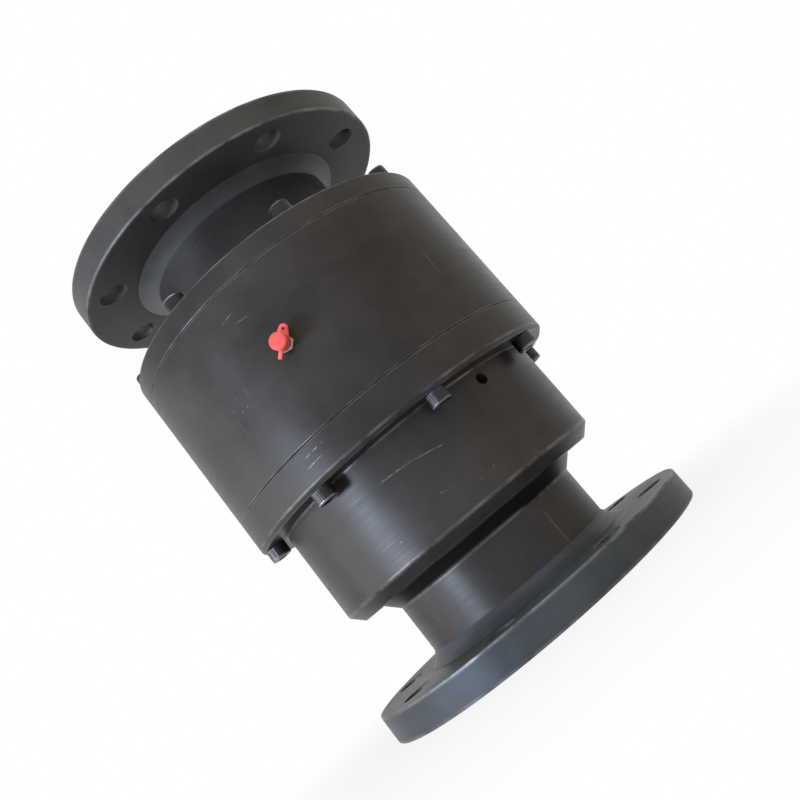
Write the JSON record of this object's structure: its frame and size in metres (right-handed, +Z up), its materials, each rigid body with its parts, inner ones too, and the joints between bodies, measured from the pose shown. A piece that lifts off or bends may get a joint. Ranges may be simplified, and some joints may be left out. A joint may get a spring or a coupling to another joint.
{
  "type": "hydraulic rotary union",
  "caption": "Flanged straight-through hydraulic rotary union: a tube with a bolting flange turns on ball bearings in a stepped round body with a second flange.",
  "frame": {"origin": "centre of the lower flange's outer face, on which the part stands", "axes": "+Z up the axis of rotation, towards the turning upper flange; +X to the right as seen from the grease nipple's side"},
  "size_m": [0.285, 0.2973, 0.4145],
  "materials": {
    "black_steel": "black phosphated steel, fine turned, satin",
    "flange_steel": "black phosphated steel, turned rim, bluish satin",
    "upper_flange_steel": "black phosphated steel, turned rim, warm grey satin",
    "screw_steel": "black oxide on knurled cap screws",
    "machined_steel": "bare turned steel",
    "bearing_steel": "ground and polished bearing steel",
    "plated_brass": "yellow-passivated nipple",
    "bronze": "turned bearing bronze",
    "cage_brass": "machined brass cage",
    "red_plastic": "moulded red plastic",
    "seal_rubber": "black nitrile rubber",
    "slide_ring_plastic": "filled fluoropolymer, greenish grey"
  },
  "bodies": {
    "fixed_body": {"body_o_ring": "seal_rubber", "carrier_circlip": "machined_steel", "carrier_o_rings": "seal_rubber", "cover_o_ring": "seal_rubber", "grease_nipple": "plated_brass", "grease_seal": "seal_rubber", "guide_bush": "bronze", "housing": "black_steel", "lower_bearing_outer_ring": "bearing_steel", "lower_body": "black_steel", "lower_flange": "flange_steel", "lower_inner_weld": "black_steel", "lower_outer_weld": "black_steel", "lower_ring_screws": "screw_steel", "lower_seal_energiser": "seal_rubber", "lower_seal_ring": "slide_ring_plastic", "nipple_spring": "bearing_steel", "outer_spacer": "machined_steel", "seal_carrier": "machined_steel", "top_cover": "black_steel", "top_cover_screws": "screw_steel", "upper_bearing_outer_ring": "bearing_steel", "upper_seal_energiser": "seal_rubber", "upper_seal_ring": "slide_ring_plastic", "wiper_seal": "seal_rubber"},
    "rotor": {"rotor_tube": "black_steel", "upper_flange": "upper_flange_steel", "upper_outer_weld": "upper_flange_steel", "upper_inner_weld": "black_steel", "upper_bearing_inner_ring": "bearing_steel", "lower_bearing_inner_ring": "bearing_steel", "inner_spacer": "machined_steel", "lock_washer": "machined_steel", "lock_nut": "machined_steel"},
    "upper_ball_set": {"upper_bearing_balls": "bearing_steel", "upper_bearing_cage": "cage_brass"},
    "lower_ball_set": {"lower_bearing_balls": "bearing_steel", "lower_bearing_cage": "cage_brass"},
    "cap": {"dust_cap": "red_plastic"},
    "check_ball": {"nipple_ball": "bearing_steel"}
  },
  "joints": [
    {"name": "rotor_spin", "type": "hinge", "parent": "fixed_body", "child": "rotor", "pos_m": [0, 0, 0.25], "axis": [0, 0, 1], "continuous": true},
    {"name": "upper_cage_spin", "type": "hinge", "parent": "fixed_body", "child": "upper_ball_set", "pos_m": [0, 0, 0.288], "axis": [0, 0, 1], "continuous": true},
    {"name": "lower_cage_spin", "type": "hinge", "parent": "fixed_body", "child": "lower_ball_set", "pos_m": [0, 0, 0.214], "axis": [0, 0, 1], "continuous": true},
    {"name": "cap_pull", "type": "slide", "parent": "fixed_body", "child": "cap", "axis": [-0.1478, -0.989, 0], "range_m": [0, 0.015]},
    {"name": "check_ball_travel", "type": "slide", "parent": "fixed_body", "child": "check_ball", "axis": [0.1478, 0.989, 0], "range_m": [0, 0.0008], "stiffness_N_per_m": 200}
  ],
  "couplings": [
    {"joint": "upper_cage_spin", "follows": "rotor_spin", "ratio": 0.45625},
    {"joint": "lower_cage_spin", "follows": "rotor_spin", "ratio": 0.45625}
  ]
}
